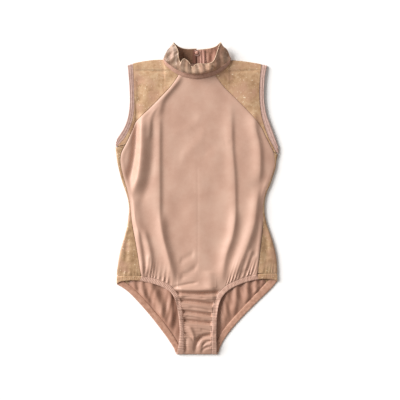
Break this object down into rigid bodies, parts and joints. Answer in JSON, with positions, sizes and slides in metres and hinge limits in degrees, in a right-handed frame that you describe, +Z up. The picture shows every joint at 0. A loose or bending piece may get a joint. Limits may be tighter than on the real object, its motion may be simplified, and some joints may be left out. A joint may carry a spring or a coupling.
{
  "type": "leotard",
  "caption": "Sleeveless high-necked leotard laid flat, with lace shoulders, sides and ruffled collar, a halter-shaped front and gathered leg openings.",
  "frame": {"origin": "on the surface the garment lies on, under the middle of its outline", "axes": "+Z up off the surface, +Y towards the collar, +X to the right as seen from above; the front faces up"},
  "size_m": [0.3755, 0.7149, 0.0304],
  "materials": {
    "satin_tricot": "nylon and elastane tricot, matt with a soft satin sheen, dusty pink-beige",
    "metallic_lace": "stretch lace with fine metallic yarn on a backing, mottled gold-beige",
    "elastic_binding": "folded elastic binding, matt, dusty pink",
    "facing": "tricot facing and cloth-covered button, soft satin pink"
  },
  "bodies": {
    "root": {"front_panel": "satin_tricot", "back_left": "satin_tricot", "back_right": "satin_tricot", "front_yoke_left": "metallic_lace", "front_yoke_right": "metallic_lace", "back_yoke_left": "metallic_lace", "back_yoke_right": "metallic_lace", "side_panel_left": "metallic_lace", "side_panel_right": "metallic_lace", "collar": "metallic_lace", "neckband": "elastic_binding", "armhole_binding_left": "elastic_binding", "armhole_binding_right": "elastic_binding", "leg_binding_left": "elastic_binding", "leg_binding_right": "elastic_binding", "placket_left": "facing", "placket_right": "facing", "collar_button": "facing", "collar_loop": "facing"}
  },
  "joints": []
}
